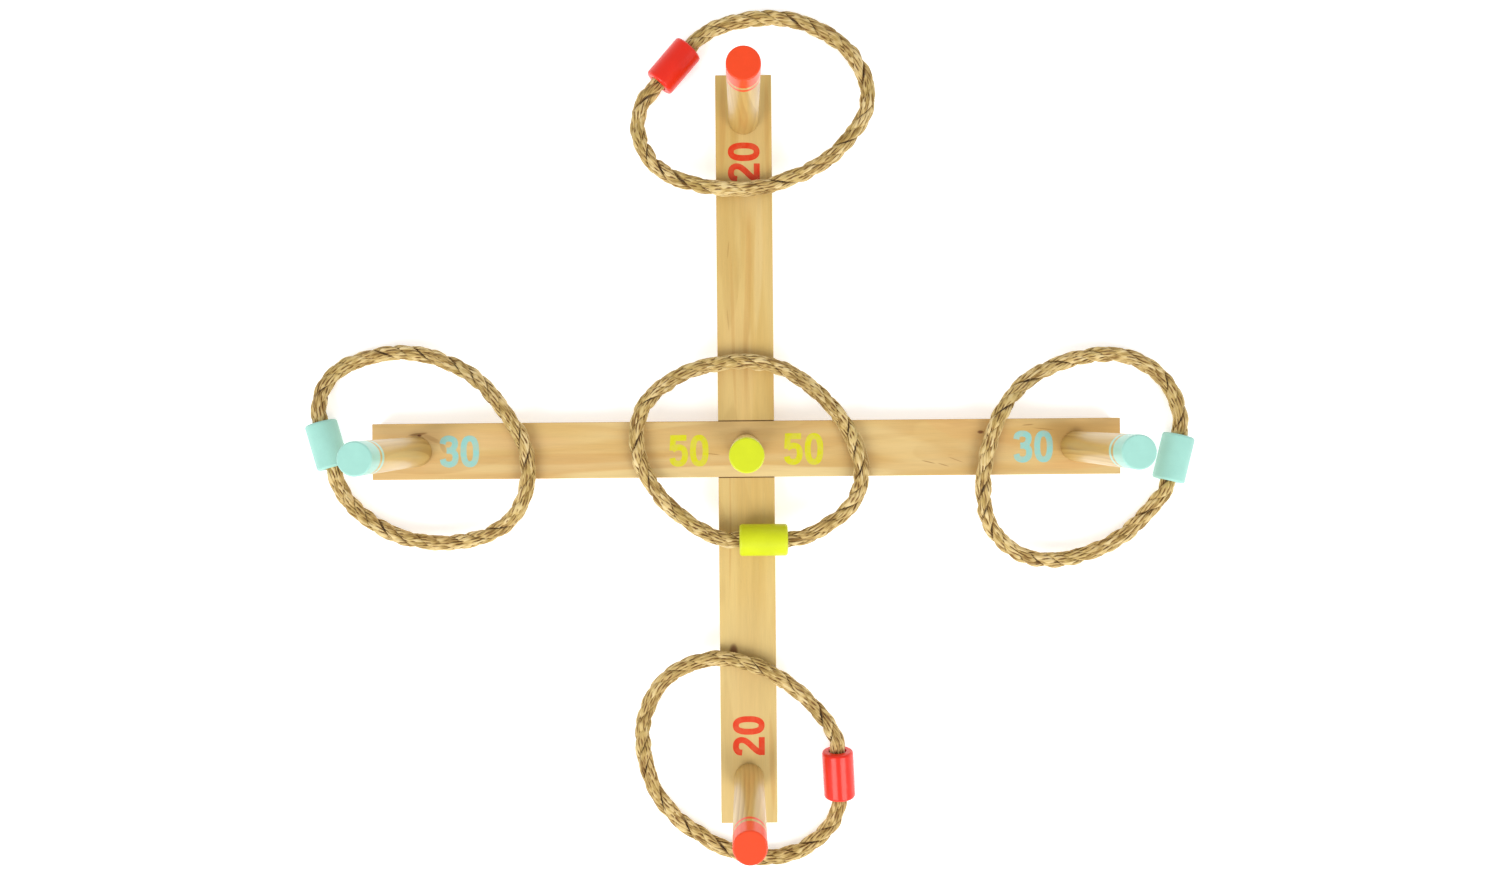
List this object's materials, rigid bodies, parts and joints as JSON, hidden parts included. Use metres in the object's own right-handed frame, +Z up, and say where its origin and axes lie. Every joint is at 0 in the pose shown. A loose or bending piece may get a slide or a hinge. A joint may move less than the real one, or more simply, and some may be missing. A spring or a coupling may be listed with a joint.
{
  "type": "ring toss set",
  "caption": "Flat wooden cross with round upright pegs, painted tops and score numbers, and rope rings with coloured beads lying round the pegs.",
  "frame": {"origin": "middle of the cross's underside, on the surface that the set stands on", "axes": "+X along the upper plank, +Y along the lower plank, +Z up along the pegs"},
  "size_m": [0.7172, 0.6952, 0.16],
  "materials": {
    "upper_pine": "clear satin lacquer over planed pine",
    "lower_pine": "clear satin lacquer over planed pine",
    "peg_pine": "clear satin lacquer, top end dipped in enamel paint",
    "red_paint": "gloss enamel on wood",
    "mint_paint": "satin enamel on wood",
    "lime_paint": "satin enamel on wood",
    "sisal_rope": "laid natural fibre, rough, with loose fibres",
    "bolt_steel": "bright zinc plate",
    "insert_zinc": "yellow zinc plate"
  },
  "bodies": {
    "cross_lower": {"lower_plank": "lower_pine", "threaded_insert_north": "insert_zinc", "threaded_insert_south": "insert_zinc", "threaded_insert_centre": "insert_zinc"},
    "cross_upper": {"upper_plank": "upper_pine", "threaded_insert_east": "insert_zinc", "threaded_insert_west": "insert_zinc"},
    "centre_peg": {"peg_centre": "peg_pine", "peg_stud_centre": "bolt_steel"},
    "centre_ring": {"ring_rope_centre": "sisal_rope", "ring_bead_centre": "lime_paint"},
    "north_peg": {"peg_north": "peg_pine", "peg_stud_north": "bolt_steel"},
    "north_ring": {"ring_rope_north": "sisal_rope", "ring_bead_north": "red_paint"},
    "south_peg": {"peg_south": "peg_pine", "peg_stud_south": "bolt_steel"},
    "south_ring": {"ring_rope_south": "sisal_rope", "ring_bead_south": "red_paint"},
    "east_peg": {"peg_east": "peg_pine", "peg_stud_east": "bolt_steel"},
    "east_ring": {"ring_rope_east": "sisal_rope", "ring_bead_east": "mint_paint"},
    "west_peg": {"peg_west": "peg_pine", "peg_stud_west": "bolt_steel"},
    "west_ring": {"ring_rope_west": "sisal_rope", "ring_bead_west": "mint_paint"}
  },
  "joints": [
    {"name": "upper_plank_lift", "type": "slide", "parent": "cross_lower", "child": "cross_upper", "axis": [0, 0, 1], "range_m": [0, 0.06]},
    {"name": "centre_peg_lift", "type": "slide", "parent": "cross_upper", "child": "centre_peg", "axis": [0, 0, 1], "range_m": [0, 0.03]},
    {"name": "north_peg_lift", "type": "slide", "parent": "cross_lower", "child": "north_peg", "axis": [0, 0, 1], "range_m": [0, 0.03]},
    {"name": "south_peg_lift", "type": "slide", "parent": "cross_lower", "child": "south_peg", "axis": [0, 0, 1], "range_m": [0, 0.03]},
    {"name": "east_peg_lift", "type": "slide", "parent": "cross_upper", "child": "east_peg", "axis": [0, 0, 1], "range_m": [0, 0.03]},
    {"name": "west_peg_lift", "type": "slide", "parent": "cross_upper", "child": "west_peg", "axis": [0, 0, 1], "range_m": [0, 0.03]},
    {"name": "centre_ring_lift", "type": "slide", "parent": "cross_upper", "child": "centre_ring", "axis": [0, 0, 1], "range_m": [0, 0.2]},
    {"name": "north_ring_lift", "type": "slide", "parent": "cross_lower", "child": "north_ring", "axis": [0, 0, 1], "range_m": [0, 0.2]},
    {"name": "south_ring_lift", "type": "slide", "parent": "cross_lower", "child": "south_ring", "axis": [0, 0, 1], "range_m": [0, 0.2]},
    {"name": "east_ring_lift", "type": "slide", "parent": "cross_upper", "child": "east_ring", "axis": [0, 0, 1], "range_m": [0, 0.2]},
    {"name": "west_ring_lift", "type": "slide", "parent": "cross_upper", "child": "west_ring", "axis": [0, 0, 1], "range_m": [0, 0.2]}
  ]
}
